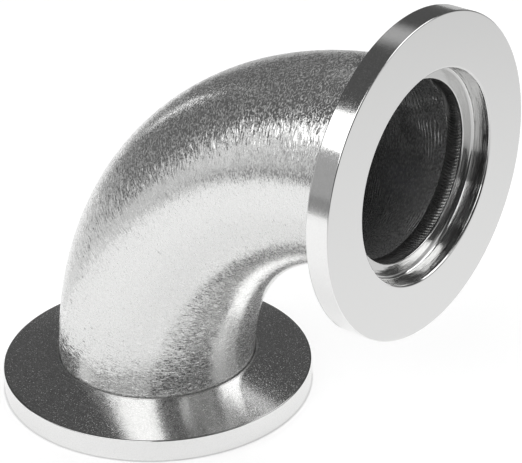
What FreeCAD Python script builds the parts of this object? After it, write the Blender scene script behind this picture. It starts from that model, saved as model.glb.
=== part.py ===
import FreeCAD, Part
import os
import Sketcher

# Right-angle vacuum elbow: a bent tube that butts into a turned clamp flange at each end, fused from inside.
# Millimetres. The origin is the centre of the lower flange's sealing face, +Z runs up the lower port's axis
# and +X out along the side port's axis, so the bend lies in the XZ plane.

SIZES = (
    ("tube_outside_diameter", 25.4, "outside of the tube"),
    ("tube_wall", 1.5, "wall of the tube"),
    ("bend_radius", 38.1, "radius of the bend, measured to the tube's axis"),
    ("flange_diameter", 40.0, "outside of the flange's rim"),
    ("rim_width", 3.0, "cylindrical part of the rim, along the axis"),
    ("clamp_angle", 15.0, "slope of the cone that the clamp draws on, in degrees"),
    ("rim_bevel", 0.15, "edge break on both edges of the rim"),
    ("recess_diameter", 26.2, "counterbore that takes the centring ring"),
    ("recess_depth", 2.6, "depth of the counterbore below the sealing face"),
    ("recess_corner", 0.5, "tool radius at the foot of the counterbore"),
    ("mouth_bevel", 0.3, "edge break where the counterbore meets the sealing face"),
    ("lip_thickness", 1.3, "lip between the counterbore and the tube's seat"),
    ("lip_bevel", 0.15, "edge break where the lip's bore meets the counterbore"),
    ("socket_clearance", 0.05, "gap all round between the tube and its socket"),
    ("socket_bevel", 0.3, "edge break at the mouth of the socket"),
    ("weld_reach", 1.0, "how far the fused metal spreads each way from the butt"),
    ("weld_root", 0.75, "how deep it runs into the wall at the butt"),
    ("weld_crown", 0.2, "how far it stands into the passage"),
)

TUBE_RADIUS = "(Sizes.tube_outside_diameter / 2)"
PASSAGE_RADIUS = f"({TUBE_RADIUS} - Sizes.tube_wall)"
SOCKET_RADIUS = f"({TUBE_RADIUS} + Sizes.socket_clearance)"
RIM_RADIUS = "(Sizes.flange_diameter / 2)"
RECESS_RADIUS = "(Sizes.recess_diameter / 2)"
SEAT_HEIGHT = "(Sizes.recess_depth + Sizes.lip_thickness)"
FLANGE_HEIGHT = f"(Sizes.rim_width + ({RIM_RADIUS} - {SOCKET_RADIUS}) * tan(Sizes.clamp_angle))"
CENTRE_TO_FACE = f"(Sizes.bend_radius + {SEAT_HEIGHT})"

# The tool radius at the foot of the counterbore takes at most half of the floor it runs out on.
RECESS_CORNER = f"min(Sizes.recess_corner; ({RECESS_RADIUS} - {PASSAGE_RADIUS}) / 2)"

# The weld's section is a wedge into the wall, closed by a crown, on a butt at the seat's height.
# Its groove runs on past the wall on the same slope, so that it clears the curved wall of the bend too.
ROOT_RADIUS = f"({PASSAGE_RADIUS} + Sizes.weld_root)"
CROWN_RADIUS = "((Sizes.weld_reach ^ 2 + Sizes.weld_crown ^ 2) / (2 * Sizes.weld_crown))"
GROOVE_RADIUS = f"({PASSAGE_RADIUS} - Sizes.weld_crown)"
GROOVE_REACH = "(Sizes.weld_reach * (1 + Sizes.weld_crown / Sizes.weld_root))"

FULL_TURN = 360
QUARTER_TURN = 90
SAME_EDGE = 1e-4


class Spot:
    """A sketch's own numbers for the start, end and centre of a curve, and for its axes and origin."""

    START, END, CENTRE = 1, 2, 3
    AXIS_X, AXIS_Y = -1, -2
    ORIGIN = (AXIS_X, START)


def fill_sheet(doc):
    """The driving sizes, one row each: what it is, its value and its alias."""
    sheet = doc.addObject("Spreadsheet::Sheet", "Sizes")
    for row, (alias, value, meaning) in enumerate(SIZES, 1):
        sheet.set(f"A{row}", meaning)
        sheet.set(f"B{row}", str(value))
        sheet.setAlias(f"B{row}", alias)
    doc.recompute()


def value_of(item, expression):
    """What an expression on the sheet comes to now, as a plain number."""
    return float(item.evalExpression(expression))


def add_sketch(body, name, plane, height="0"):
    """An empty sketch on one of the body's own origin planes, lifted along the plane's normal."""
    support = next(item for item in body.Origin.OriginFeatures if item.Role == plane)
    sketch = body.newObject("Sketcher::SketchObject", name)
    sketch.AttachmentSupport = [(support, "")]
    sketch.MapMode = "FlatFace"
    sketch.setExpression("AttachmentOffset.Base.z", height)
    return sketch


def add_size(sketch, kind, parts, expression):
    """A dimension of the sketch that follows an expression."""
    index = sketch.addConstraint(Sketcher.Constraint(kind, *parts, value_of(sketch, expression)))
    sketch.setExpression(f"Constraints[{index}]", expression)


def add_circle(sketch, radius):
    """A circle about the sketch's origin."""
    normal = FreeCAD.Vector(0, 0, 1)
    circle = sketch.addGeometry(Part.Circle(FreeCAD.Vector(), normal, value_of(sketch, radius)))
    sketch.addConstraint(Sketcher.Constraint("Coincident", circle, Spot.CENTRE, *Spot.ORIGIN))
    add_size(sketch, "Radius", (circle,), radius)


def add_outline(sketch, corners, crown_radius=None):
    """A closed outline through corners, each an (x, y) pair of expressions.

    A side whose ends share x or y is held upright or level, and the other coordinates are dimensions from
    the sketch's origin. With crown_radius, the side that closes the outline is an arc of that radius, which
    bulges towards the sketch's y axis.
    """
    points = [FreeCAD.Vector(value_of(sketch, x), value_of(sketch, y), 0) for x, y in corners]
    for start, end in zip(points[:-1], points[1:]):
        sketch.addGeometry(Part.LineSegment(start, end))
    if crown_radius:
        radius = value_of(sketch, crown_radius)
        half_chord = (points[0] - points[-1]).Length / 2
        bulge = FreeCAD.Vector(radius - (radius**2 - half_chord**2) ** 0.5, 0, 0)
        closing = sketch.addGeometry(Part.Arc(points[-1], (points[0] + points[-1]) / 2 - bulge, points[0]))
        add_size(sketch, "Radius", (closing,), crown_radius)
    else:
        sketch.addGeometry(Part.LineSegment(points[-1], points[0]))
    for side, (x, y) in enumerate(corners):
        following = (side + 1) % len(corners)
        sketch.addConstraint(Sketcher.Constraint("Coincident", side, Spot.END, following, Spot.START))
        x_before, y_before = corners[side - 1] if side else (None, None)
        if x == x_before:
            sketch.addConstraint(Sketcher.Constraint("Vertical", side - 1))
        elif x == "0":
            sketch.addConstraint(Sketcher.Constraint("PointOnObject", side, Spot.START, Spot.AXIS_Y))
        else:
            add_size(sketch, "DistanceX", (*Spot.ORIGIN, side, Spot.START), x)
        if y == y_before:
            sketch.addConstraint(Sketcher.Constraint("Horizontal", side - 1))
        elif y == "0":
            sketch.addConstraint(Sketcher.Constraint("PointOnObject", side, Spot.START, Spot.AXIS_X))
        else:
            add_size(sketch, "DistanceY", (*Spot.ORIGIN, side, Spot.START), y)


def turn(body, kind, name, sketch, axis="V_Axis", angle=FULL_TURN):
    """A revolution or a groove of a sketch about one of the sketch's axes."""
    feature = body.newObject(kind, name)
    feature.Profile = sketch
    feature.ReferenceAxis = (sketch, [axis])
    feature.Angle = angle
    return feature


def bore(body, name, radius, height="0", depth=None):
    """A round pocket about the port's axis, upwards from a height, to a depth or right through."""
    circle = add_sketch(body, f"{name}_circle", "XY_Plane", height)
    add_circle(circle, radius)
    pocket = body.newObject("PartDesign::Pocket", name)
    pocket.Profile = circle
    pocket.Reversed = True
    if depth:
        pocket.setExpression("Length", depth)
    else:
        pocket.Type = "ThroughAll"


def ring_edge(body, shape, radius, height):
    """The name of the circular edge that has this radius at this height."""
    radius, height = value_of(body, radius), value_of(body, height)
    for number, edge in enumerate(shape.Edges, 1):
        if isinstance(edge.Curve, Part.Circle) and abs(edge.Curve.Radius - radius) < SAME_EDGE:
            if abs(edge.Curve.Center.z - height) < SAME_EDGE:
                return f"Edge{number}"
    raise ValueError(f"{body.Label} has no ring of radius {radius} at height {height}")


def dress(body, kind, name, amount, *rings):
    """A chamfer or a fillet on circular edges, each given by its radius and its height."""
    body.Document.recompute()
    base = body.Tip
    feature = body.newObject(kind, name)
    feature.Base = (base, [ring_edge(body, base.Shape, *ring) for ring in rings])
    feature.setExpression("Radius" if kind == "PartDesign::Fillet" else "Size", amount)


def cut_weld_groove(body, name, on_side_port=False):
    """The wedge that the fused metal takes from the wall, about the lower port's axis or the side port's."""
    section = add_sketch(body, f"{name}_section", "XZ_Plane")
    if on_side_port:
        section.AttachmentOffset = FreeCAD.Placement(
            FreeCAD.Vector(), FreeCAD.Rotation(FreeCAD.Vector(0, 0, 1), QUARTER_TURN)
        )
        section.setExpression("AttachmentOffset.Base.x", CENTRE_TO_FACE)
        section.setExpression("AttachmentOffset.Base.y", CENTRE_TO_FACE)
    add_outline(
        section,
        (
            (GROOVE_RADIUS, f"{SEAT_HEIGHT} - {GROOVE_REACH}"),
            (ROOT_RADIUS, SEAT_HEIGHT),
            (GROOVE_RADIUS, f"{SEAT_HEIGHT} + {GROOVE_REACH}"),
        ),
    )
    turn(body, "PartDesign::Groove", name, section)


def make_tube(doc, node):
    """The bent tube: a ring turned through a right angle about the bend's axis, its ends on the two seats."""
    body = doc.addObject("PartDesign::Body", node)
    ring = add_sketch(body, "tube_ring", "XY_Plane", SEAT_HEIGHT)
    add_circle(ring, TUBE_RADIUS)
    add_circle(ring, PASSAGE_RADIUS)
    radius = value_of(ring, "Sizes.bend_radius")
    axis = ring.addGeometry(
        Part.LineSegment(FreeCAD.Vector(radius, 0, 0), FreeCAD.Vector(radius, radius, 0)), True
    )
    ring.addConstraint(Sketcher.Constraint("Vertical", axis))
    ring.addConstraint(Sketcher.Constraint("PointOnObject", axis, Spot.START, Spot.AXIS_X))
    add_size(ring, "DistanceX", (*Spot.ORIGIN, axis, Spot.START), "Sizes.bend_radius")
    add_size(ring, "DistanceY", (axis, Spot.START, axis, Spot.END), "Sizes.bend_radius")
    turn(body, "PartDesign::Revolution", "bend", ring, "Axis0", QUARTER_TURN)
    cut_weld_groove(body, "lower_weld_groove")
    cut_weld_groove(body, "side_weld_groove", on_side_port=True)
    return body


def make_flange(doc, node):
    """A clamp flange, sealing face at height 0: turned, bored, counterbored, socketed and bevelled."""
    body = doc.addObject("PartDesign::Body", node)
    section = add_sketch(body, "blank_section", "XZ_Plane")
    add_outline(
        section,
        (
            ("0", "0"),
            (RIM_RADIUS, "0"),
            (RIM_RADIUS, "Sizes.rim_width"),
            (SOCKET_RADIUS, FLANGE_HEIGHT),
            ("0", FLANGE_HEIGHT),
        ),
    )
    turn(body, "PartDesign::Revolution", "blank", section)
    bore(body, "passage", PASSAGE_RADIUS)
    bore(body, "recess", RECESS_RADIUS, depth="Sizes.recess_depth")
    bore(body, "socket", SOCKET_RADIUS, SEAT_HEIGHT)
    dress(body, "PartDesign::Fillet", "recess_foot", RECESS_CORNER, (RECESS_RADIUS, "Sizes.recess_depth"))
    dress(body, "PartDesign::Chamfer", "recess_mouth", "Sizes.mouth_bevel", (RECESS_RADIUS, "0"))
    dress(body, "PartDesign::Chamfer", "lip_edge", "Sizes.lip_bevel", (PASSAGE_RADIUS, "Sizes.recess_depth"))
    dress(body, "PartDesign::Chamfer", "socket_mouth", "Sizes.socket_bevel", (SOCKET_RADIUS, FLANGE_HEIGHT))
    rim_edges = (RIM_RADIUS, "0"), (RIM_RADIUS, "Sizes.rim_width")
    dress(body, "PartDesign::Chamfer", "rim_edges", "Sizes.rim_bevel", *rim_edges)
    cut_weld_groove(body, "weld_groove")
    return body


def make_weld_bead(doc, node):
    """The ring of fused metal that fills the wedge across the butt and crowns into the passage."""
    body = doc.addObject("PartDesign::Body", node)
    section = add_sketch(body, "bead_section", "XZ_Plane")
    add_outline(
        section,
        (
            (PASSAGE_RADIUS, f"{SEAT_HEIGHT} - Sizes.weld_reach"),
            (ROOT_RADIUS, SEAT_HEIGHT),
            (PASSAGE_RADIUS, f"{SEAT_HEIGHT} + Sizes.weld_reach"),
        ),
        CROWN_RADIUS,
    )
    turn(body, "PartDesign::Revolution", "bead", section)
    return body


def put_on_side_port(body):
    """Turns a piece made about the lower port to the same place on the side port."""
    body.Placement = FreeCAD.Placement(
        FreeCAD.Vector(), FreeCAD.Rotation(FreeCAD.Vector(0, 1, 0), -QUARTER_TURN)
    )
    body.setExpression("Placement.Base.x", CENTRE_TO_FACE)
    body.setExpression("Placement.Base.z", CENTRE_TO_FACE)


def check(doc, bodies):
    """Stops at an object that failed to compute or a body whose shape is empty or invalid."""
    for item in doc.Objects:
        if "Invalid" in item.State or "Error" in item.State:
            raise ValueError(f"{item.Label} did not compute")
    for body in bodies:
        if body.Shape.isNull() or not body.Shape.isValid():
            raise ValueError(f"{body.Label} has no valid shape")


def main():
    doc = FreeCAD.newDocument("VacuumElbow")
    fill_sheet(doc)
    tube = make_tube(doc, "elbow_tube")
    lower = [make_flange(doc, "lower_flange"), make_weld_bead(doc, "lower_weld_bead")]
    side = [make_flange(doc, "side_flange"), make_weld_bead(doc, "side_weld_bead")]
    for body in side:
        put_on_side_port(body)
    doc.recompute()
    bodies = [tube, *lower, *side]
    check(doc, bodies)
    os.makedirs("parts", exist_ok=True)
    for body in bodies:
        body.Shape.exportStep(f"parts/{body.Label}.step")
        print(f"{body.Label}: {body.Shape.Volume:.1f} cubic mm, {len(body.Shape.Faces)} faces")


main()
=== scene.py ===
import math

import bpy
import numpy as np
from bpy.props import FloatProperty, FloatVectorProperty, PointerProperty
from bpy.types import Operator, Panel, PropertyGroup
from mathutils import Matrix, Vector


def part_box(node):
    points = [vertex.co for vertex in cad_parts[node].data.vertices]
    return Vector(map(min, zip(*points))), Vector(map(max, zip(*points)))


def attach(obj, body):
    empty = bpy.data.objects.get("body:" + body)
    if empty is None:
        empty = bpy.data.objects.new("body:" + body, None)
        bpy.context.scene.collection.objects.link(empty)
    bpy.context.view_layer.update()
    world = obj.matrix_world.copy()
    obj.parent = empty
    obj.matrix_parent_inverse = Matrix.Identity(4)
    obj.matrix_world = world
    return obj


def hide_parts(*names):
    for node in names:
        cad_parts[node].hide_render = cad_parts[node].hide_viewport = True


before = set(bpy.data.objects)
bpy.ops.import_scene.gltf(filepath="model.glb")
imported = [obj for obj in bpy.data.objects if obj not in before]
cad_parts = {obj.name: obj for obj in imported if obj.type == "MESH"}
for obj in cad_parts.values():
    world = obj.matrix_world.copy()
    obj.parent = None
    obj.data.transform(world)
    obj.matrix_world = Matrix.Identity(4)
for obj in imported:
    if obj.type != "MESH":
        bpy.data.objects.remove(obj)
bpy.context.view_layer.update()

bl_info = {
    "name": "Vacuum Elbow",
    "version": (1, 0, 0),
    "blender": (4, 5, 0),
    "location": "3D View > Sidebar > Elbow",
    "description": "A right-angle vacuum elbow of brushed steel, with a clamp flange on each port",
    "category": "Add Mesh",
}

MM = 0.001
FULL_TURN = 2 * math.pi
QUARTER_TURN = math.pi / 2
RIM_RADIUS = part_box("lower_flange")[1][0]
CENTRE_TO_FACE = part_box("side_flange")[1][0]
MIDDLE = (CENTRE_TO_FACE / 2, 0, CENTRE_TO_FACE / 2)

# How finely the pieces and the stage's cards are divided, round the axis and along or across them.
TUBE_TURNS = 256
TUBE_OUTSIDE_ROWS = 200
TUBE_INSIDE_ROWS = 110
FLANGE_TURNS = 384
WELD_TURNS = 1536
WELD_ROWS = 15
CARD_COLUMNS = 97
CARD_ROWS = 13
LYING_CARD_COLUMNS = 181
SHARP_EDGE = math.radians(35)

# How far a mark leans: noise less a half, times NOISE_SPREAD. STEEP_SHARE of that is multiplied by its
# own square, which makes a few marks steep.
NOISE_SPREAD = 7
STEEP_SHARE = 0.6

# The stage's sizes in metres: half the floor's side, and distances from the floor under the elbow's middle.
FLOOR_HALF = 3.0
TABLE_END = 2.8
CLOTH_DISTANCE = 1.3
FRONT_CLOTH_DISTANCE = 1.25
SCREEN_DISTANCE = 1.2
LAMP_DISTANCE = 0.8
SOFTBOX_DISTANCE = 0.79
SOFTBOX_EDGE_DISTANCE = 0.785
GLOW_DISTANCE = 0.367

# The middle of the glow on the cloth behind.
GLOW_CENTRE = (-0.136, 0.159, 0.291)

# The elevation in degrees, a little below the floor, at which the standing cards start.
FOOT = -0.6

# The floor lies just under the elbow, and what lies on it lies just over the elbow's foot, in two layers.
FLOOR_DROP = 0.01 * MM
LOWER_LAYER = 0.01 * MM
UPPER_LAYER = 0.02 * MM

WORLD_LIGHT = 0.35
PHOTO_WIDTH = 522
SENSOR_WIDTH = 36
NEAREST_SEEN = 10 * MM

# Where the sockets for colours are on a Mix node, which has a set of sockets for each kind of value.
MIX_FACTOR, MIX_FIRST, MIX_SECOND, MIX_RESULT = 0, 6, 7, 2


def length(name, description, default):
    """A size in metres that a user can change."""
    return FloatProperty(
        name=name, description=description, default=default, min=0, precision=6, unit="LENGTH"
    )


def angle(name, description, degrees):
    """An angle that a user can change."""
    return FloatProperty(
        name=name, description=description, default=math.radians(degrees), subtype="ANGLE"
    )


def slope(name, description, default):
    """A slope without a unit that a user can change."""
    return FloatProperty(
        name=name, description=description, default=default, min=0, max=2, subtype="FACTOR"
    )


def brightness(name, description, default):
    """A brightness without a unit that a user can change."""
    return FloatProperty(name=name, description=description, default=default, min=0)


def colour(name, description, default):
    """A surface colour that a user can change."""
    return FloatVectorProperty(
        name=name, description=description, default=default, min=0, max=1, size=3, subtype="COLOR"
    )


class ElbowSizes(PropertyGroup):
    """The elbow's sizes, as its solids have them, and those of the weld's ripples and the comb marks."""

    tube_radius: length("Tube radius", "Outside of the tube", 12.7 * MM)
    passage_radius: length("Passage radius", "Inside of the tube and of the flanges", 11.2 * MM)
    bend_radius: length("Bend radius", "Radius of the bend, to the tube's axis", 38.1 * MM)
    rim_radius: length("Rim radius", "Outside of the flange's rim", RIM_RADIUS)
    rim_width: length("Rim width", "Cylindrical part of the rim, along the axis", 3 * MM)
    clamp_angle: angle("Clamp angle", "Slope of the cone behind the rim", 15)
    rim_break: length("Rim edge", "Edge break on both edges of the rim", 0.15 * MM)
    recess_radius: length("Recess radius", "Counterbore for the centring ring", 13.1 * MM)
    recess_depth: length("Recess depth", "Depth of the counterbore", 2.6 * MM)
    recess_corner: length("Recess corner", "Tool radius at the foot of the counterbore", 0.5 * MM)
    mouth_break: length("Recess edge", "Edge break at the mouth of the counterbore", 0.3 * MM)
    seat_depth: length("Seat depth", "From the sealing face to the end of the tube", 3.9 * MM)
    lip_break: length("Lip edge", "Edge break where the lip meets the counterbore", 0.15 * MM)
    socket_radius: length("Socket radius", "Bore that takes the tube's end", 12.75 * MM)
    socket_break: length("Socket edge", "Edge break at the mouth of the socket", 0.3 * MM)
    weld_reach: length("Weld reach", "How far the weld spreads each way from the butt", 1 * MM)
    weld_root_radius: length("Weld root radius", "How far out the weld runs into the wall", 11.95 * MM)
    weld_crown: length("Weld crown", "How far the weld stands into the passage", 0.2 * MM)
    ripple_pitch: length("Ripple pitch", "From one ripple of the weld to the next", 0.42 * MM)
    ripple_depth: length("Ripple depth", "Depth of the ripples in the weld's crown", 0.08 * MM)
    comb_pitch: length("Comb pitch", "From one comb mark inside the tube to the next", 0.45 * MM)


class SteelFinish(PropertyGroup):
    """The colours of the steel, and how much its marks tilt the surface."""

    tube_colour: colour("Tube", "Brushed tube", (0.79, 0.79, 0.785))
    passage_colour: colour("Passage", "Dull inside of the tube", (0.4, 0.4, 0.4))
    rim_colour: colour("Rim", "Bright turned rim and cone", (0.82, 0.82, 0.815))
    face_colour: colour("Face", "Lapped sealing face", (0.82, 0.82, 0.815))
    # Darker than the rim's colour; at 0.4 of it, it is also the painted shade at the cone's foot.
    port_colour: colour("Port", "Counterbore, left as it was turned", (0.65, 0.65, 0.645))
    weld_colour: colour("Weld", "Fused metal", (0.45, 0.45, 0.445))
    brushing: slope("Brushing", "Slope of the surface across the tube's brush marks", 0.085)
    grain: slope("Grain", "Slope of the surface along the tube's brush marks", 0.016)
    dents: slope("Dents", "Slope of the shallow waves that the bending left in the tube", 0.006)
    inner_dents: slope("Inner dents", "What the same waves add inside the tube", 0.04)
    polish_marks: slope("Polish marks", "Slope of the longer marks on the bend's outer flank", 0.07)
    combing: slope("Combing", "Slope of the comb marks that the bending left inside the tube", 0.4)
    turning: slope("Turning", "Slope across the turning marks on the recess's floor", 0.03)
    wall_turning: slope("Wall turning", "Slope across the turning marks on the recess's wall", 0.1)
    cone_grain: slope("Cone grain", "Slope of the grain on the clamp cone", 0.016)
    rim_grain: slope("Rim grain", "Slope of the grain on the rim", 0.012)
    weld_grain: slope("Weld grain", "Slope of the grain on the weld", 0.03)


class StudioStage(PropertyGroup):
    """The stage, and the camera's place in it."""

    floor_colour: colour("Floor", "White floor", (0.52, 0.52, 0.52))
    floor_glow: colour("Floor glow", "What the light under the floor adds to its look", (0.62, 0.62, 0.62))
    cloth_colour: colour("Cloth", "Dark cloth hung behind and overhead", (0.085, 0.085, 0.085))
    haze_colour: colour("Cloth foot", "The cloth's paler foot, lit by the floor", (0.12, 0.12, 0.12))
    front_colour: colour("Front cloth", "Black cloth in front, round the camera", (0.05, 0.05, 0.05))
    screen_colour: colour("Screen", "Grey screen below the left soft box", (0.4, 0.4, 0.4))
    lit_screen_colour: colour("Lit screen", "The screen next to the light strip", (0.65, 0.65, 0.65))
    board_colour: colour("Board", "Dim board low on the right", (0.3, 0.3, 0.3))
    rear_colour: colour("Rear glow", "Where a little light falls on the cloth behind", (0.45, 0.45, 0.45))
    side_screen_colour: colour("Side screen", "Foot of the screen on the right", (0.4, 0.4, 0.4))
    bright_screen_colour: colour("Bright screen", "Top of the screen on the right", (1, 1, 1))
    strip_colour: colour("Strip", "Upright light strip and the right soft box's edge", (0.9, 0.9, 0.9))
    table_colour: colour("Table", "Grey table at its nearest", (0.89, 0.89, 0.89))
    rear_table_colour: colour("Rear table", "The table behind the elbow", (0.55, 0.55, 0.55))
    far_table_colour: colour("Far table", "The table where it ends", (0.28, 0.28, 0.28))
    softbox_colour: colour("Soft box", "Front of the soft boxes and the thin strip", (1, 1, 1))
    softbox_end_colour: colour("Soft box end", "Far end of the right soft box", (0.32, 0.32, 0.32))
    softbox_strength: brightness("Left soft box", "How bright it and the thin strip look in metal", 2.0)
    right_softbox_strength: brightness("Right soft box", "How bright it looks in metal", 2.3)
    lamp_strength: brightness("Lamps", "How bright both lamps are, for their size", 2.0)
    azimuth: angle("Azimuth", "Camera's place round the elbow", 37.579)
    elevation: angle("Elevation", "Camera's height above the horizon", 28.538)
    roll: angle("Roll", "Turn about the camera's own axis", -1.155)
    distance: length("Distance", "From the middle of the elbow to the camera", 363.72 * MM)
    focal_pixels: FloatProperty(
        name="Focal length",
        description="Focal length in pixels of the photograph",
        default=2951.495,
        subtype="PIXEL",
    )
    aside: FloatVectorProperty(
        name="Aside",
        description="How far the elbow's middle lies right of and below the picture's, in pixels",
        default=(24.562, 52.227),
        size=2,
    )


class Wire:
    """A number's socket in a node tree, on which arithmetic adds the Math nodes."""

    def __init__(self, graph, socket):
        self.graph = graph
        self.socket = socket

    def math(self, operation, *others, first=None):
        """The result of a Math node's operation on this number and the others."""
        values = (self if first is None else first, *others)
        return self.graph.add("ShaderNodeMath", {"operation": operation}, dict(enumerate(values)))

    def __add__(self, other):
        return self.math("ADD", other)

    __radd__ = __add__

    def __mul__(self, other):
        return self.math("MULTIPLY", other)

    __rmul__ = __mul__

    def __sub__(self, other):
        return self.math("SUBTRACT", other)

    def __rsub__(self, other):
        return self.math("SUBTRACT", self, first=other)

    def ramp(self, low, high, low_value=0, high_value=1):
        """A smooth step from low_value at low to high_value at high."""
        sockets = {
            "Value": self, "From Min": low, "From Max": high, "To Min": low_value, "To Max": high_value
        }
        return self.graph.add("ShaderNodeMapRange", {"interpolation_type": "SMOOTHSTEP"}, sockets)


class Graph:
    """A node tree and the one way in which nodes are added to it."""

    def __init__(self, tree):
        self.tree = tree
        tree.nodes.clear()

    def add(self, kind, settings=None, sockets=None, output=0):
        """The output of a new node, its settings made first and then the value or link of each socket."""
        node = self.tree.nodes.new(kind)
        for name, value in (settings or {}).items():
            setattr(node, name, value)
        for name, value in (sockets or {}).items():
            if isinstance(value, Wire):
                self.tree.links.new(value.socket, node.inputs[name])
            else:
                node.inputs[name].default_value = value
        return Wire(self, node.outputs[output]) if len(node.outputs) else None

    def mix(self, factor, first, second):
        """A colour between two colours."""
        sockets = {MIX_FACTOR: factor, MIX_FIRST: first, MIX_SECOND: second}
        return self.add("ShaderNodeMix", {"data_type": "RGBA"}, sockets, MIX_RESULT)

    def vector(self, operation, first, second=(0, 0, 0), output=0):
        """A Vector Math node's result."""
        return self.add("ShaderNodeVectorMath", {"operation": operation}, {0: first, 1: second}, output)

    def scaled(self, vector, factor):
        """A vector times a number."""
        return self.add("ShaderNodeVectorMath", {"operation": "SCALE"}, {0: vector, "Scale": factor})

    def moved_along(self, place, height):
        """A place moved along the axis."""
        return self.vector("ADD", place, self.add("ShaderNodeCombineXYZ", None, {"Z": height}))

    def parts(self, vector):
        """A vector's three numbers."""
        node = self.add("ShaderNodeSeparateXYZ", None, {0: vector}).socket.node
        return [Wire(self, socket) for socket in node.outputs]

    def about_axis(self, place):
        """How far a place is from its axis, and the direction in which it lies from there."""
        flat = self.vector("MULTIPLY", place, (1, 1, 0))
        return self.vector("LENGTH", flat, output="Value"), self.vector("NORMALIZE", flat)

    def noise(self, place, scale, detail=2, output="Fac"):
        """Noise between 0 and 1 at a place, by one scale or one for each axis. Its colour holds three."""
        scale = scale if isinstance(scale, tuple) else (scale, scale, scale)
        sockets = {"Vector": self.vector("MULTIPLY", place, scale), "Scale": 1, "Detail": detail}
        return self.add("ShaderNodeTexNoise", {"noise_dimensions": "3D"}, sockets, output)

    def shade(self, sockets):
        """Ends the tree in a surface's shader, with the value or link of each of its sockets."""
        shader = self.add("ShaderNodeBsdfPrincipled", None, sockets)
        self.add("ShaderNodeOutputMaterial", None, {"Surface": shader})


def rgba(values, factor=1):
    """A colour times a factor, with its alpha."""
    return (*(value * factor for value in values), 1)


def new_material(name):
    """A material and its graph."""
    material = bpy.data.materials.new(name)
    material.use_nodes = True
    return material, Graph(material.node_tree)


def new_steel(name):
    """A material, its graph and the piece's straightened place, which patterns follow round the bend."""
    material, graph = new_material(name)
    place = graph.add("ShaderNodeAttribute", {"attribute_name": "grain"}, output="Vector")
    return material, graph, place


def marks(graph, lined, wide, long, detail=2):
    """How far the surface leans across and along its marks: noise stretched to marks that are so wide and
    so long, in metres, most of them shallow and a few steep. In lined, z runs across the marks, and x and y
    run along them. A lean is the spread noise times the sum of a fixed share and a share of its square."""
    noise = graph.noise(lined, (1 / long, 1 / long, 1 / wide), detail, output="Color")
    lean = graph.scaled(graph.vector("SUBTRACT", noise, (0.5, 0.5, 0.5)), NOISE_SPREAD)
    square = graph.vector("MULTIPLY", lean, lean)
    steep = graph.vector("ADD", graph.scaled(square, STEEP_SHARE), (1 - STEEP_SHARE,) * 3)
    across, along, _ = graph.parts(graph.vector("MULTIPLY", lean, steep))
    return across, along


def shade_steel(graph, base, roughness, metal, across, along):
    """The shader of bare metal: its normal leans across its marks and along them by the two slopes."""
    normal = graph.add("ShaderNodeNewGeometry", output="Normal")
    around = graph.add("ShaderNodeAttribute", {"attribute_name": "around"}, output="Vector")
    lay = graph.vector("CROSS_PRODUCT", normal, around)
    lean = graph.vector("ADD", graph.scaled(lay, across), graph.scaled(around, along))
    leant = graph.vector("NORMALIZE", graph.vector("ADD", normal, lean))
    graph.shade({"Base Color": base, "Metallic": metal, "Roughness": roughness, "Normal": leant})


def tube_steel(finish, sizes):
    """Steel brushed round the tube: short wavering marks across its axis, and longer polish marks on a belt
    along the bend's outer flank, on its -Y side. The inside is duller, and the bending left comb marks on
    patches of it: a sine of the place along the axis, one comb pitch long."""
    material, graph, place = new_steel("tube_steel")
    outward, direction = graph.about_axis(place)
    side_x, side_y, _ = graph.parts(direction)
    inside = outward.ramp(sizes.passage_radius + 0.4 * MM, sizes.passage_radius + 0.2 * MM)
    belt = side_x.ramp(-0.75, -0.55) * side_x.ramp(-0.25, -0.45) * side_y.ramp(-0.4, -0.7) * (1 - inside)
    waver = graph.noise(place, 500, detail=0)
    lined = graph.moved_along(place, (waver - 0.5) * (0.7 * MM))
    short_across, short_along = marks(graph, lined, wide=0.12 * MM, long=0.8 * MM)
    fine_across, fine_along = marks(graph, lined, wide=0.05 * MM, long=0.2 * MM, detail=1)
    polish_across, polish_along = marks(graph, lined, wide=0.17 * MM, long=1.3 * MM, detail=1)
    dent_across, dent_along = marks(graph, place, wide=1.3 * MM, long=1.3 * MM, detail=1)
    comb = (graph.parts(lined)[2] * (FULL_TURN / sizes.comb_pitch)).math("SINE")
    combed = graph.noise(place, 260, detail=1).ramp(0.42, 0.6)
    patch = graph.noise(place, 160, detail=3)
    speckle = graph.noise(lined, (3200, 3200, 9000), detail=1)
    dull = speckle.ramp(0.44, 0.66)

    brushed = (0.6 + 0.8 * patch) * (1 - 0.6 * inside)
    across = (short_across + fine_across * 0.8) * brushed * finish.brushing
    across = across + dent_across * finish.dents + polish_across * belt * finish.polish_marks
    across = across + (comb * combed * finish.combing + dent_across * finish.inner_dents) * inside
    along = (short_along + fine_along) * brushed * finish.grain
    along = along + dent_along * finish.dents + polish_along * belt * finish.polish_marks

    tone = graph.mix(speckle.ramp(0.3, 0.7), rgba(finish.tube_colour, 0.9), rgba(finish.tube_colour))
    base = graph.mix(inside, tone, rgba(finish.passage_colour))
    roughness = 0.07 + 0.25 * dull + 0.04 * patch + 0.08 * inside
    metal = 0.94 - 0.24 * dull - 0.22 * inside
    shade_steel(graph, base, roughness, metal, across, along)
    return material


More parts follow.
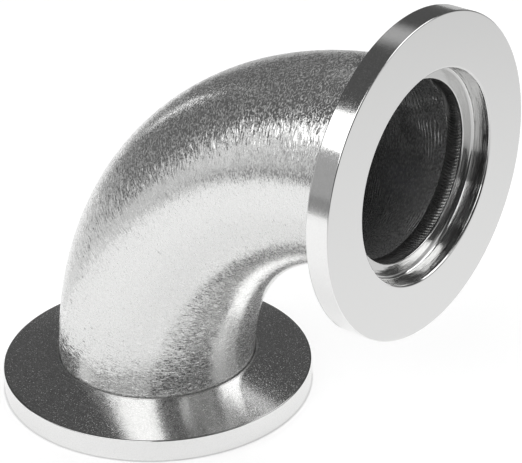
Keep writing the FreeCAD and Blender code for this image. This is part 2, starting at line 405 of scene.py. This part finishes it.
def flange_steel(finish, sizes):
    """Turned steel: fine rings about the axis, bright on the rim with the least of a grain, lapped on the
    sealing face, left plain and darker in the counterbore, and blasted with a fine grain on the clamp cone.
    The rim's edge next to the cone is darker, and the crease where the cone meets the tube is painted
    shade.

    In lined, x and y go round at one radius, and z grows both outward and along the axis, so that the rings
    show on flats and on walls alike.
    """
    material, graph, place = new_steel("flange_steel")
    outward, direction = graph.about_axis(place)
    axial = graph.parts(place)[2]
    lined = graph.moved_along(graph.scaled(direction, 15 * MM), outward + axial * 1.3)
    recess, edge, width = sizes.recess_radius, sizes.rim_radius, sizes.rim_width
    tube, seat = sizes.tube_radius, sizes.seat_depth
    below_face = axial.ramp(0.02 * MM, 0.1 * MM)
    cone = axial.ramp(width, width + 0.1 * MM) * outward.ramp(tube - 0.2 * MM, tube)
    port = outward.ramp(recess + 0.25 * MM, recess + 0.1 * MM) * below_face
    face = outward.ramp(recess + 0.05 * MM, recess + 0.2 * MM) * (1 - below_face)
    wall = outward.ramp(recess - 0.1 * MM, recess - 0.02 * MM) * port
    floor = port * (1 - wall)
    # Painted shade: the crease where the cone's foot meets the tube, darkened further down.
    foot = outward.ramp(tube + 0.5 * MM, tube + 0.2 * MM) * axial.ramp(seat - 0.4 * MM, seat + 0.1 * MM)
    rim = outward.ramp(edge - 0.1 * MM, edge - 0.02 * MM)
    # The rim's edge next to the cone, darkened below to half the rim's colour.
    dark_rim_edge = outward.ramp(edge - 0.22 * MM, edge - 0.16 * MM) * axial.ramp(width - 0.05 * MM, width)

    ring_across, _ = marks(graph, lined, wide=0.12 * MM, long=8 * MM)
    hair_across, _ = marks(graph, lined, wide=0.03 * MM, long=4 * MM, detail=1)
    fine_across, _ = marks(graph, lined, wide=0.04 * MM, long=2 * MM, detail=1)
    dust_across, dust_along = marks(graph, place, wide=0.12 * MM, long=0.12 * MM, detail=1)
    powder_across, powder_along = marks(graph, place, wide=0.03 * MM, long=0.03 * MM, detail=0)
    dust = cone * finish.cone_grain + port * 0.004 + 0.001
    powder = rim * finish.rim_grain
    turning = floor * finish.turning + 0.003
    across = dust_across * dust + powder_across * powder + (ring_across * 0.3 + fine_across) * turning
    across = across + hair_across * wall * finish.wall_turning
    along = dust_along * dust + powder_along * powder

    patch = graph.noise(place, 120)
    speckle = graph.noise(place, 6000, detail=1)
    speckled = cone + rim * 0.3
    dull = speckled * speckle.ramp(0.45, 0.75)
    tone = graph.mix(patch, rgba(finish.rim_colour, 0.97), rgba(finish.rim_colour))
    base = graph.mix(port, graph.mix(face, tone, rgba(finish.face_colour)), rgba(finish.port_colour))
    # Painted shade in the crease at the cone's foot: 0.4 of the port's colour.
    base = graph.mix(foot, base, rgba(finish.port_colour, 0.4))
    base = graph.mix(speckled * speckle.ramp(0.62, 0.38), base, rgba(finish.rim_colour, 0.8))
    base = graph.mix(dark_rim_edge, base, rgba(finish.rim_colour, 0.5))
    roughness = 0.06 + 0.02 * patch + 0.03 * port + 0.01 * cone + 0.2 * dull + 0.3 * foot + 0.1 * dark_rim_edge
    shade_steel(graph, base, roughness, 1 - 0.14 * dull, across, along)
    return material


def weld_steel(finish):
    """Fused metal: dull, and mottled by the heat."""
    material, graph, place = new_steel("weld_steel")
    mottle = graph.noise(place, 900, detail=3)
    across, along = marks(graph, place, wide=0.12 * MM, long=0.12 * MM)
    base = graph.mix(mottle.ramp(0.35, 0.65), rgba(finish.weld_colour, 0.8), rgba(finish.weld_colour))
    roughness = 0.12 + mottle * 0.14
    shade_steel(graph, base, roughness, 0.95, across * finish.weld_grain, along * finish.weld_grain)
    return material


def seen_directly(graph):
    """1 for what is seen, directly, in metal or through glass, and 0 for light that falls on things."""
    camera, glossy, transmission = (
        graph.add("ShaderNodeLightPath", output=f"Is {ray} Ray")
        for ray in ("Camera", "Glossy", "Transmission")
    )
    return (camera + glossy + transmission).math("MINIMUM", 1)


def floor_paint(stage):
    """White floor with the least of a grain, lit from above and a little from below. The glow from below is
    halved under the elbow and back to full a quarter millimetre past the flange's rim: a painted shadow."""
    material, graph = new_material("floor_paint")
    place = graph.add("ShaderNodeTexCoord", output="Object")
    grain = graph.noise(place, 30, detail=3)
    base = graph.mix(grain, rgba(stage.floor_colour, 0.99), rgba(stage.floor_colour))
    reach = graph.vector("LENGTH", place, output="Value")
    # Painted shadow round the lower flange: the glow is halved under it and rises to full just past its
    # rim.
    beside = reach.ramp(RIM_RADIUS, RIM_RADIUS + 0.25 * MM, 0.5)
    glow = graph.mix(seen_directly(graph) * beside, (0, 0, 0, 1), rgba(stage.floor_glow))
    graph.shade({"Base Color": base, "Roughness": 0.8, "Emission Color": glow, "Emission Strength": 1})
    return material


def card_paint(name, near, far=None, level=None, strength=1):
    """The look of a card, the same whatever lights it: all in near's colour, or turning into far's as a
    level over the place grows from 0 to 1."""
    material, graph = new_material(name)
    look = rgba(near)
    if far is not None:
        place = graph.add("ShaderNodeTexCoord", output="Object")
        look = graph.mix(level(graph, place), look, rgba(far))
    black = {"Base Color": (0, 0, 0, 1), "Roughness": 1, "Specular IOR Level": 0}
    graph.shade({**black, "Emission Color": look, "Emission Strength": strength})
    return material


def rounded(corners, steps=6, support=0.03 * MM):
    """A closed outline through (radius, along, reach) corners.

    A corner with a reach becomes an arc that leaves each side that far from the corner, with one more point
    a little way along each side, so that the flats stay flat when they are shaded smooth.
    """
    outline = []
    points = np.array([corner[:2] for corner in corners])
    for number, (point, reach) in enumerate(zip(points, (corner[2] for corner in corners))):
        before = points[number - 1] - point
        after = points[(number + 1) % len(points)] - point
        before, after = before / np.linalg.norm(before), after / np.linalg.norm(after)
        if not reach:
            outline.append(point)
            continue
        half = math.acos(np.clip(before @ after, -1, 1)) / 2
        radius = reach * math.tan(half)
        middle = before + after
        centre = point + middle / np.linalg.norm(middle) * radius / math.sin(half)
        first, last = (point + side * reach - centre for side in (before, after))
        sweep = math.pi - 2 * half
        share = np.linspace(0, 1, steps + 1)[:, None]
        arc = (np.sin((1 - share) * sweep) * first + np.sin(share * sweep) * last) / math.sin(sweep)
        outline += [point + before * (reach + support), *(centre + arc), point + after * (reach + support)]
    return np.array(outline)


def evenly(start, end, count):
    """Points on a straight side from start up to but not including end."""
    share = np.linspace(0, 1, count, endpoint=False)[:, None]
    return np.array(start) + share * (np.array(end) - np.array(start))


def tube_outline(sizes):
    """The wall's outline with the bend laid straight: outside, far butt, inside and near butt. Each butt is
    cut away to the weld's root, in a wedge that starts a weld's reach up the inside."""
    bend = sizes.bend_radius * QUARTER_TURN
    outside, inside, root = sizes.tube_radius, sizes.passage_radius, sizes.weld_root_radius
    reach = sizes.weld_reach
    return np.concatenate([
        evenly((outside, 0), (outside, bend), TUBE_OUTSIDE_ROWS),
        evenly((outside, bend), (root, bend), 1),
        evenly((root, bend), (inside, bend - reach), 1),
        evenly((inside, bend - reach), (inside, reach), TUBE_INSIDE_ROWS),
        evenly((inside, reach), (root, 0), 1),
        evenly((root, 0), (outside, 0), 1),
    ])


def flange_outline(sizes):
    """A flange's outline: sealing face, rim, cone, socket, seat, wedge for the weld, lip and counterbore.
    The cone's back is the rim's width plus its height times the clamp angle's tangent."""
    back = sizes.rim_width + (sizes.rim_radius - sizes.socket_radius) * math.tan(sizes.clamp_angle)
    return rounded((
        (sizes.recess_radius, 0, sizes.mouth_break),
        (sizes.rim_radius, 0, sizes.rim_break),
        (sizes.rim_radius, sizes.rim_width, sizes.rim_break),
        (sizes.socket_radius, back, sizes.socket_break),
        (sizes.socket_radius, sizes.seat_depth, 0),
        (sizes.weld_root_radius, sizes.seat_depth, 0),
        (sizes.passage_radius, sizes.seat_depth - sizes.weld_reach, 0),
        (sizes.passage_radius, sizes.recess_depth, sizes.lip_break),
        (sizes.recess_radius, sizes.recess_depth, sizes.recess_corner),
    ))


def weld_outline(sizes, across):
    """A weld's outline: its crown, which stands into the passage by its height times one less the square of
    the place across, from -1 to 1, and then its root in the wall."""
    crown = sizes.passage_radius - sizes.weld_crown * (1 - across**2)
    arc = np.stack([crown, sizes.seat_depth + sizes.weld_reach * across], axis=-1)
    return np.concatenate([arc, [[sizes.weld_root_radius, sizes.seat_depth]]])


def weld_ripples(turn, across, count, seed):
    """How deep a fused seam's crescent ripples are, from 0 to 1: a wave round the seam, which trails
    towards both of its edges and fades there, and whose pace and depth waver by a few slow waves of seeded
    phase."""
    phases = np.random.default_rng(seed).uniform(0, FULL_TURN, 8)
    pace = sum(np.sin(k * turn + phase) / k for k, phase in zip((3, 5, 9, 17), phases))
    power = 0.75 + 0.25 * sum(np.sin(k * turn + phase) for k, phase in zip((4, 7, 11), phases[4:])) / 3
    wave = count * turn + 1.6 * pace + 5.0 * across[:, None] ** 2
    crest = 0.5 + 0.5 * np.sin(wave + 0.5 * np.sin(wave))
    return crest * power * (1 - across[:, None] ** 2) ** 0.5


def turned(outline, turns):
    """An outline of (radius, along) points carried round the axis: x and y are the radius times the cosine
    and the sine of the turn, and z is the distance along."""
    turn = np.linspace(0, FULL_TURN, turns, endpoint=False)
    radius, along = outline[:, :1], outline[:, 1:]
    level = np.broadcast_to(along, (len(outline), turns))
    return np.stack([radius * np.cos(turn), radius * np.sin(turn), level], axis=-1)


def to_side_port(place):
    """The same place about the side port: the axis turned to lie along X, from its face back."""
    x, y, z = np.moveaxis(place, -1, 0)
    return np.stack([CENTRE_TO_FACE - z, y, CENTRE_TO_FACE + x], axis=-1)


def round_the_bend(place, sizes):
    """A straight place laid round the bend: the distance along becomes an angle about the bend's centre,
    and x becomes the distance towards that centre."""
    x, y, z = np.moveaxis(place, -1, 0)
    turn = z / sizes.bend_radius
    inward = sizes.bend_radius - x
    return np.stack(
        [sizes.bend_radius - inward * np.cos(turn), y, sizes.seat_depth + inward * np.sin(turn)], axis=-1
    )


def closed_piece(name, place, grain, material, node):
    """A piece whose grid of places closes both ways, facing outward, which stands for a CAD node.

    The faces are turned over if the volume that they enclose, a sixth of the sum of the triple products of
    their triangles, comes out negative. The attribute around points along the grid's rows.
    """
    rows, columns = place.shape[:2]
    index = np.arange(rows * columns).reshape(rows, columns)
    onward = np.roll(index, -1, axis=0)
    quads = np.stack([index, np.roll(index, -1, axis=1), np.roll(onward, -1, axis=1), onward], axis=-1)
    quads = quads.reshape(-1, 4)
    points = place.reshape(-1, 3)
    a, b, c, d = (points[quads[:, corner]] for corner in range(4))
    if np.sum(np.cross(a, b) * c + np.cross(a, c) * d) < 0:
        quads = quads[:, ::-1]
    mesh = bpy.data.meshes.new(name)
    mesh.from_pydata(points, [], quads, shade_flat=False)
    mesh.set_sharp_from_angle(angle=SHARP_EDGE)
    around = np.roll(place, -1, axis=1) - np.roll(place, 1, axis=1)
    around /= np.linalg.norm(around, axis=-1, keepdims=True)
    for attribute, values in (("grain", grain), ("around", around)):
        data = mesh.attributes.new(attribute, "FLOAT_VECTOR", "POINT").data
        data.foreach_set("vector", values.astype("f").ravel())
    mesh.materials.append(material)
    piece = bpy.data.objects.new(name, mesh)
    bpy.context.scene.collection.objects.link(piece)
    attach(piece, "root")
    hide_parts(node)
    return piece


class ELBOW_OT_tube(Operator):
    """Make the bent tube, which butts into a flange at each end"""

    bl_idname = "elbow.tube"
    bl_label = "Bent Tube"

    def execute(self, context):
        sizes = context.scene.elbow_sizes
        straight = turned(tube_outline(sizes), TUBE_TURNS)
        bent = round_the_bend(straight, sizes)
        material = tube_steel(context.scene.elbow_finish, sizes)
        closed_piece("bent_tube", bent, straight, material, "elbow_tube")
        return {"FINISHED"}


class ELBOW_OT_flanges(Operator):
    """Make both clamp flanges: rim, clamp cone, socket for the tube, lip and counterbore"""

    bl_idname = "elbow.flanges"
    bl_label = "Clamp Flanges"

    def execute(self, context):
        sizes = context.scene.elbow_sizes
        upright = turned(flange_outline(sizes), FLANGE_TURNS)
        sideways = to_side_port(upright)
        material = flange_steel(context.scene.elbow_finish, sizes)
        closed_piece("lower_clamp_flange", upright, upright, material, "lower_flange")
        closed_piece("side_clamp_flange", sideways, upright, material, "side_flange")
        return {"FINISHED"}


class ELBOW_OT_weld_beads(Operator):
    """Make the rippled ring of fused metal inside each port"""

    bl_idname = "elbow.weld_beads"
    bl_label = "Weld Beads"

    def execute(self, context):
        sizes = context.scene.elbow_sizes
        across = np.linspace(-1, 1, WELD_ROWS)
        turn = np.linspace(0, FULL_TURN, WELD_TURNS, endpoint=False)
        smooth = turned(weld_outline(sizes, across), WELD_TURNS)
        count = round(FULL_TURN * sizes.passage_radius / sizes.ripple_pitch)
        material = weld_steel(context.scene.elbow_finish)
        for seed, name, node in (
            (3, "lower_weld_ring", "lower_weld_bead"),
            (8, "side_weld_ring", "side_weld_bead"),
        ):
            upright = smooth.copy()
            crown = upright[:-1, :, :2]
            cut = weld_ripples(turn, across, count, seed) * sizes.ripple_depth
            crown += crown / np.linalg.norm(crown, axis=-1, keepdims=True) * cut[..., None]
            place = upright if node == "lower_weld_bead" else to_side_port(upright)
            closed_piece(name, place, upright, material, node)
        return {"FINISHED"}


class ELBOW_OT_stage(Operator):
    """Make the pale floor, the soft lights and the photograph's camera"""

    bl_idname = "elbow.stage"
    bl_label = "Stage"

    def execute(self, context):
        stage = context.scene.elbow_stage
        make_floor(stage)
        make_cards(stage)
        make_world()
        make_lamps(stage)
        make_camera(context, stage)
        context.scene.view_settings.view_transform = "Standard"
        return {"FINISHED"}


def stage_mesh(name, points, faces, material):
    """A surface of the stage, which isn't part of the elbow."""
    mesh = bpy.data.meshes.new(name)
    mesh.from_pydata(points, [], faces)
    mesh.materials.append(material)
    surface = bpy.data.objects.new(name, mesh)
    bpy.context.scene.collection.objects.link(surface)
    return surface


def make_floor(stage):
    """A wide floor just under the elbow."""
    half, level = FLOOR_HALF, -FLOOR_DROP
    corners = [(-half, -half, level), (half, -half, level), (half, half, level), (-half, half, level)]
    stage_mesh("floor", corners, [(0, 1, 2, 3)], floor_paint(stage))


def place_at(azimuth, elevation, distance):
    """The place at an azimuth from +X and an elevation, both in degrees, seen from the floor under the
    elbow's middle: from there, x and y are the level reach, the distance times the elevation's cosine,
    times the azimuth's cosine and sine, and z is the distance times the elevation's sine."""
    azimuth, elevation, distance = np.broadcast_arrays(np.radians(azimuth), np.radians(elevation), distance)
    reach = distance * np.cos(elevation)
    x = MIDDLE[0] + reach * np.cos(azimuth)
    return np.stack([x, reach * np.sin(azimuth), distance * np.sin(elevation)], axis=-1)


def between(stops, azimuth):
    """A value at an azimuth in degrees, on the straight lines between the stops."""
    return np.interp(azimuth, list(stops), list(stops.values()))


def metal_card(name, rows, material):
    """A card through rows of places. It is kept from the camera and from light, so only reflections show
    it."""
    index = np.arange(rows[..., 0].size).reshape(rows.shape[:2])
    faces = np.stack([index[:-1, :-1], index[:-1, 1:], index[1:, 1:], index[1:, :-1]], axis=-1)
    card = stage_mesh(name, rows.reshape(-1, 3), faces.reshape(-1, 4), material)
    card.visible_camera = False
    card.visible_diffuse = False
    card.visible_transmission = False
    card.visible_shadow = False


def standing_card(name, low, high, distance, material):
    """A card bent round the set at one distance. Its lower and upper edge are elevations in degrees at a
    few azimuths, and straight between them."""
    azimuth = np.linspace(min(low), max(low), CARD_COLUMNS)
    share = np.linspace(0, 1, CARD_ROWS)[:, None]
    elevation = (1 - share) * between(low, azimuth) + share * between(high, azimuth)
    metal_card(name, place_at(azimuth, elevation, distance), material)


def lying_card(name, inner, level, material):
    """A card that lies flat, from inner, a distance at each of a few azimuths, out to the table's end."""
    azimuth = np.linspace(min(inner), max(inner), LYING_CARD_COLUMNS)
    reach = np.stack([between(inner, azimuth), np.full(len(azimuth), TABLE_END)])
    metal_card(name, place_at(azimuth, 0, reach) + (0, 0, level), material)


def make_cards(stage):
    """The set round the white floor, as polished metal shows it: dark cloth all round and overhead with a
    dim glow on it, black cloth in front, the soft boxes' fronts and an edge, upright light strips, screens
    and a board. The grey table lies from the white floor's outline out to beyond the cloth, with parts of
    another grey and cloth laid on it."""
    def height(graph, place):
        return graph.parts(place)[2].ramp(0, 0.35)

    def towards_strip(graph, place):
        return graph.parts(place)[0].ramp(-0.6, -0.8)

    def outwards(graph, place):
        behind = graph.parts(place)[0].math("MINIMUM", 0)
        return (graph.vector("LENGTH", place, output="Value") - 0.6 * behind).ramp(0.04, 0.4)

    def up_the_screen(graph, place):
        _, y, z = graph.parts(place)
        return z.ramp(0.1, 0.7) * y.ramp(0.75, 0.5)

    def far_end(graph, place):
        return graph.parts(place)[0].ramp(0.1, -0.12)

    def off_centre(graph, place):
        return graph.vector("DISTANCE", place, GLOW_CENTRE, output="Value").ramp(0.015, 0.085)

    cloth = card_paint("dark_cloth", stage.haze_colour, stage.cloth_colour, height)
    black = card_paint("black_cloth", stage.front_colour)
    screen = card_paint("grey_screen", stage.screen_colour, stage.lit_screen_colour, towards_strip)
    board = card_paint("dim_board", stage.board_colour)
    side_screen = card_paint(
        "side_screen", stage.side_screen_colour, stage.bright_screen_colour, up_the_screen
    )
    glow = card_paint("rear_glow", stage.rear_colour, stage.cloth_colour, off_centre)
    strip = card_paint("light_strip", stage.strip_colour)
    front = card_paint("left_softbox_front", stage.softbox_colour, strength=stage.softbox_strength)
    right_front = card_paint(
        "right_softbox_front", stage.softbox_colour, stage.softbox_end_colour, far_end,
        stage.right_softbox_strength,
    )
    table = card_paint("grey_table", stage.table_colour, stage.far_table_colour, outwards)
    strip_foot = card_paint("strip_foot", stage.lit_screen_colour)
    rear_table = card_paint("rear_table", stage.rear_table_colour)

    standing_card("dark_cloth", {0: FOOT, 360: FOOT}, {0: 90, 360: 90}, CLOTH_DISTANCE, cloth)
    standing_card("black_cloth", {-62: FOOT, 14: FOOT}, {-62: 38, 14: 38}, FRONT_CLOTH_DISTANCE, black)
    standing_card("grey_screen", {-134: FOOT, -62: FOOT}, {-134: 26, -62: 26}, SCREEN_DISTANCE, screen)
    standing_card("right_board", {52: FOOT, 75: FOOT}, {52: 7, 75: 7}, SCREEN_DISTANCE, board)
    standing_card(
        "side_screen", {12: FOOT, 52: FOOT}, {12: 30, 22: 45, 34: 47, 52: 37}, SCREEN_DISTANCE, side_screen
    )
    standing_card("rear_glow", {123: 42, 155: 42}, {123: 66, 155: 66}, GLOW_DISTANCE, glow)
    standing_card("light_strip", {-150: FOOT, -134: FOOT}, {-150: 32, -134: 29}, SCREEN_DISTANCE, strip)
    standing_card("thin_strip", {158.4: FOOT, 161.6: FOOT}, {158.4: 14, 161.6: 14}, SCREEN_DISTANCE, front)
    standing_card("softbox_edge", {104: 46, 112: 48}, {104: 50, 112: 52}, SOFTBOX_EDGE_DISTANCE, strip)
    standing_card(
        "left_softbox_front",
        {-142: 29, -130: 29, -59: 24},
        {-142: 43, -136: 48, -126: 62, -100: 72, -59: 72},
        SOFTBOX_DISTANCE, front,
    )
    standing_card(
        "right_softbox_front",
        {12: 56, 30: 47, 46: 41, 54: 36, 60: 33, 70: 34, 96: 48, 106: 53, 118: 58},
        {12: 60, 20: 68, 40: 76, 118: 72},
        SOFTBOX_DISTANCE, right_front,
    )
    lying_card("grey_table", {
        -180: 0.05, -152: 0.1, -134: 0.12, -132: 0.24, -120: 0.2, -90: 0.2, -62: 0.1, -45: 0.06,
        -20: 0.05, 65: 0.05, 75: 0.3, 120: 0.2, 135: 0.25, 150: 0.2, 180: 0.05,
    }, LOWER_LAYER, table)
    lying_card("strip_foot", {-151: 0.12, -134: 0.12}, UPPER_LAYER, strip_foot)
    lying_card("rear_table", {104: 0.17, 140: 0.17}, UPPER_LAYER, rear_table)
    lying_card("cloth_behind", {141: 0.45, 156: 0.33, 180: 0.38, 194: 0.22, 206: 0.2}, UPPER_LAYER, cloth)
    lying_card("cloth_in_front", {-60: 0.26, 12: 0.26}, UPPER_LAYER, black)


def make_world():
    """White all round to look at, and a weak even light."""
    world = bpy.data.worlds.new("studio")
    world.use_nodes = True
    bpy.context.scene.world = world
    graph = Graph(world.node_tree)
    strength = WORLD_LIGHT + (1 - WORLD_LIGHT) * seen_directly(graph)
    background = graph.add("ShaderNodeBackground", None, {"Color": (1, 1, 1, 1), "Strength": strength})
    graph.add("ShaderNodeOutputWorld", None, {"Surface": background})


def make_lamps(stage):
    """The light of a soft box on each side, turned to the elbow: its power is its brightness times pi and
    its area. Metal shows the soft boxes' fronts instead."""
    for name, azimuth, elevation, width, height in (
        ("left_softbox", -103, 42, 1.1, 0.5), ("right_softbox", 60, 61, 0.9, 0.4),
    ):
        lamp = bpy.data.lights.new(name, "AREA")
        lamp.shape = "RECTANGLE"
        lamp.size = width
        lamp.size_y = height
        lamp.energy = stage.lamp_strength * math.pi * width * height
        place = Vector(place_at(azimuth, elevation, LAMP_DISTANCE))
        facing = (Vector(MIDDLE) - place).to_track_quat("-Z", "Y").to_matrix().to_4x4()
        softbox = bpy.data.objects.new(name, lamp)
        softbox.matrix_world = Matrix.Translation(place) @ facing
        softbox.visible_glossy = False
        softbox.visible_camera = False
        bpy.context.scene.collection.objects.link(softbox)


def make_camera(context, stage):
    """The camera: back along its own direction from the middle of the elbow, turned by the roll, and moved
    aside until the middle falls where the photograph has it."""
    azimuth, elevation, roll = stage.azimuth, stage.elevation, stage.roll
    level = Vector((math.cos(azimuth), math.sin(azimuth), 0))
    back = Vector((
        math.sin(azimuth) * math.cos(elevation),
        -math.cos(azimuth) * math.cos(elevation),
        math.sin(elevation),
    ))
    upright = back.cross(level)
    right = math.cos(roll) * level + math.sin(roll) * upright
    up = math.cos(roll) * upright - math.sin(roll) * level
    per_pixel = stage.distance / stage.focal_pixels
    to_right = stage.aside[0] * per_pixel
    down = stage.aside[1] * per_pixel
    place = Vector(MIDDLE) + stage.distance * back - to_right * right + down * up
    lens = bpy.data.cameras.new("camera")
    lens.sensor_width = SENSOR_WIDTH
    lens.lens = stage.focal_pixels * SENSOR_WIDTH / PHOTO_WIDTH
    lens.clip_start = NEAREST_SEEN
    camera = bpy.data.objects.new("camera", lens)
    camera.matrix_world = Matrix.Translation(place) @ Matrix((right, up, back)).transposed().to_4x4()
    context.scene.collection.objects.link(camera)
    context.scene.camera = camera


class ELBOW_PT_panel(Panel):
    """Lists the elbow's pieces, its stage and their values"""

    bl_idname = "ELBOW_PT_panel"
    bl_label = "Vacuum Elbow"
    bl_space_type = "VIEW_3D"
    bl_region_type = "UI"
    bl_category = "Elbow"

    def draw(self, context):
        for operator in OPERATORS:
            self.layout.operator(operator.bl_idname)
        for group in (context.scene.elbow_sizes, context.scene.elbow_finish, context.scene.elbow_stage):
            box = self.layout.box()
            for name in group.__annotations__:
                box.prop(group, name)


OPERATORS = (ELBOW_OT_tube, ELBOW_OT_flanges, ELBOW_OT_weld_beads, ELBOW_OT_stage)
GROUPS = {"elbow_sizes": ElbowSizes, "elbow_finish": SteelFinish, "elbow_stage": StudioStage}
CLASSES = (*GROUPS.values(), *OPERATORS, ELBOW_PT_panel)


def register():
    for item in CLASSES:
        bpy.utils.register_class(item)
    for name, group in GROUPS.items():
        setattr(bpy.types.Scene, name, PointerProperty(type=group))


def unregister():
    for name in GROUPS:
        delattr(bpy.types.Scene, name)
    for item in reversed(CLASSES):
        bpy.utils.unregister_class(item)


def main():
    register()
    bpy.ops.elbow.tube()
    bpy.ops.elbow.flanges()
    bpy.ops.elbow.weld_beads()
    bpy.ops.elbow.stage()


if __name__ == "__main__":
    main()
